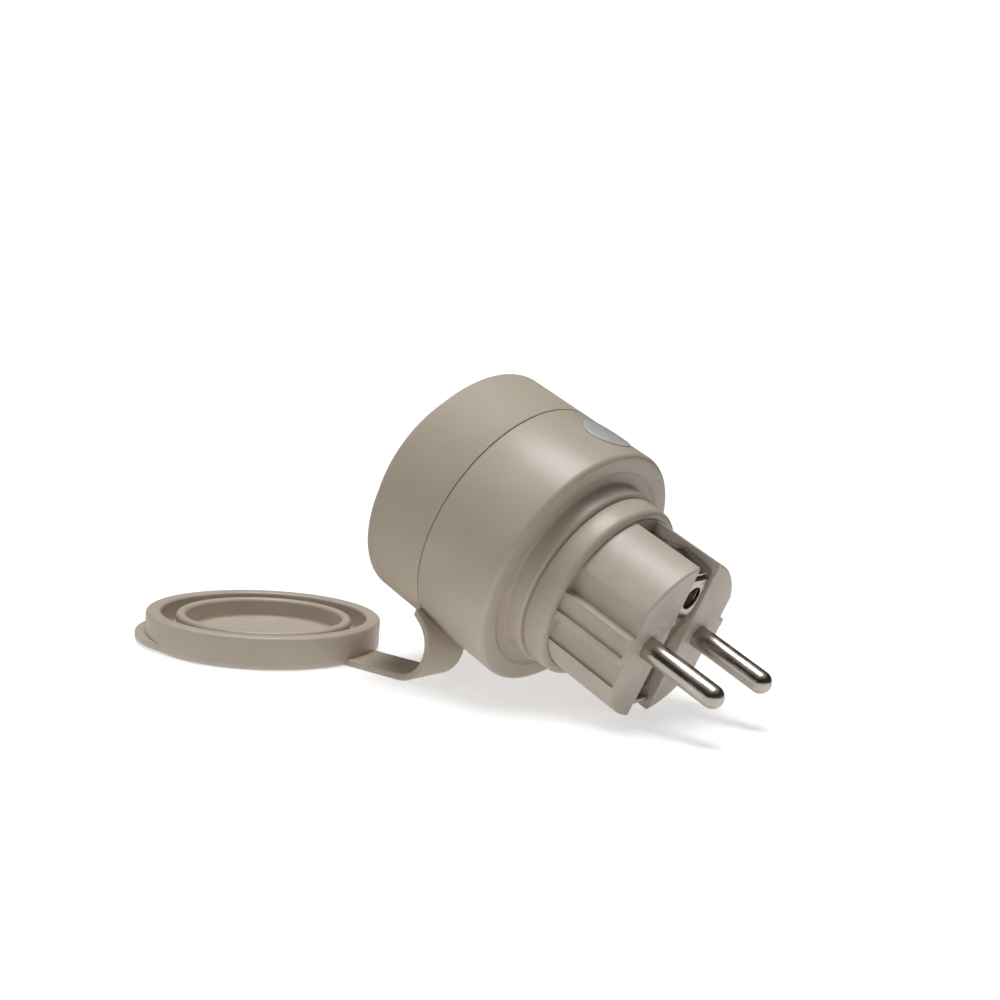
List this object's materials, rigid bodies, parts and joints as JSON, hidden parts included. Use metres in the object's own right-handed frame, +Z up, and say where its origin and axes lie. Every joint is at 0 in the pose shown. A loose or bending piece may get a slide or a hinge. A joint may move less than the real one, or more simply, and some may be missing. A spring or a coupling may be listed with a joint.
{
  "type": "smart plug",
  "caption": "Outdoor smart plug: round two pin plug with side earth clips, covered socket on the back, push button on top and a tethered cap.",
  "frame": {"origin": "centre of the bounding box footprint on the table the plug lies on", "axes": "+X away from the cap, the way the plug pins point in plan; +Z up from the table; the pins dip 23.2 degrees below +X"},
  "size_m": [0.142, 0.0764, 0.0664],
  "materials": {
    "coverPlastic": "fine textured moulding, warm beige",
    "bootRubber": "semi-gloss thermoplastic elastomer, cream",
    "insertPlastic": "satin moulding, cream",
    "cupPlastic": "fine textured moulding, beige",
    "carrierPlastic": "plain white moulding",
    "shutterPlastic": "smooth moulding",
    "shellPlastic": "dark grey moulding",
    "sealRubber": "soft greige seal",
    "nickelPlate": "nickel plated brass, polished",
    "contactBrass": "stamped strip, bright",
    "tinnedCopper": "tinned copper strip",
    "springSteel": "drawn wire",
    "screwSteel": "zinc plated",
    "earthWire": "green and yellow insulation",
    "boardLaminate": "glass epoxy laminate with solder mask",
    "relayPlastic": "sealed case",
    "varistorCoat": "dipped coating",
    "fuseCeramic": "ceramic tube",
    "filmCase": "moulded capacitor case",
    "canSleeve": "aluminium can",
    "ferrite": "wound ferrite drum",
    "tinPlate": "tin plated can",
    "buttonClear": "translucent, polished",
    "ledBody": "diffused lens"
  },
  "bodies": {
    "plug": {"front_cover": "coverPlastic", "socket_cup": "cupPlastic", "contact_carrier": "carrierPlastic", "shutter_spring": "springSteel", "socket_contact_live": "contactBrass", "socket_contact_neutral": "contactBrass", "socket_earth": "nickelPlate", "seam_gasket": "sealRubber", "insert_gasket": "sealRubber", "inner_shell": "shellPlastic", "insert_screws": "screwSteel", "plug_insert": "insertPlastic", "pin_live": "nickelPlate", "pin_neutral": "nickelPlate", "earth_clip_top": "nickelPlate", "earth_clip_bottom": "nickelPlate", "earth_face_strap": "nickelPlate", "earth_pin_sleeve": "nickelPlate", "earth_lead": "earthWire", "power_board": "boardLaminate", "supply_board": "boardLaminate", "busbar_live": "tinnedCopper", "busbar_neutral": "tinnedCopper", "relay": "relayPlastic", "current_shunt": "tinnedCopper", "varistor": "varistorCoat", "fuse": "fuseCeramic", "film_capacitor": "filmCase", "bulk_capacitors": "canSleeve", "choke": "ferrite", "control_board": "boardLaminate", "radio_shield": "tinPlate", "tact_switch": "tinPlate", "status_light": "ledBody", "button_spring": "springSteel", "boot": "bootRubber", "strap_curl": "bootRubber"},
    "button": {"button_cap": "buttonClear"},
    "shutter": {"shutter": "shutterPlastic"},
    "strap": {"strap_band": "bootRubber"},
    "cap": {"cap": "bootRubber"}
  },
  "joints": [
    {"name": "button_press", "type": "slide", "parent": "plug", "child": "button", "axis": [-0.3924, -0.0872, -0.9156], "range_m": [0, 0.0006], "stiffness_N_per_m": 900, "springref_m": -0.0012, "deforming": ["button_spring"]},
    {"name": "shutter_turn", "type": "hinge", "parent": "plug", "child": "shutter", "pos_m": [0.01079, 0.01018, 0.03454], "axis": [0.9191, 0, -0.3939], "range_deg": [0, 38], "stiffness_Nm_per_rad": 0.002, "springref_deg": -28.65, "deforming": ["shutter_spring"]},
    {"name": "strap_bend", "type": "hinge", "parent": "plug", "child": "strap", "pos_m": [0.0079, -0.00532, 0.01563], "axis": [-0.3303, 0.9184, -0.2178], "range_deg": [0, 40], "deforming": ["strap_curl"]},
    {"name": "cap_fold", "type": "hinge", "parent": "strap", "child": "cap", "pos_m": [-0.01505, -0.00532, 0.0035], "axis": [-0.3303, 0.9184, -0.2178], "range_deg": [0, 77.6]}
  ]
}
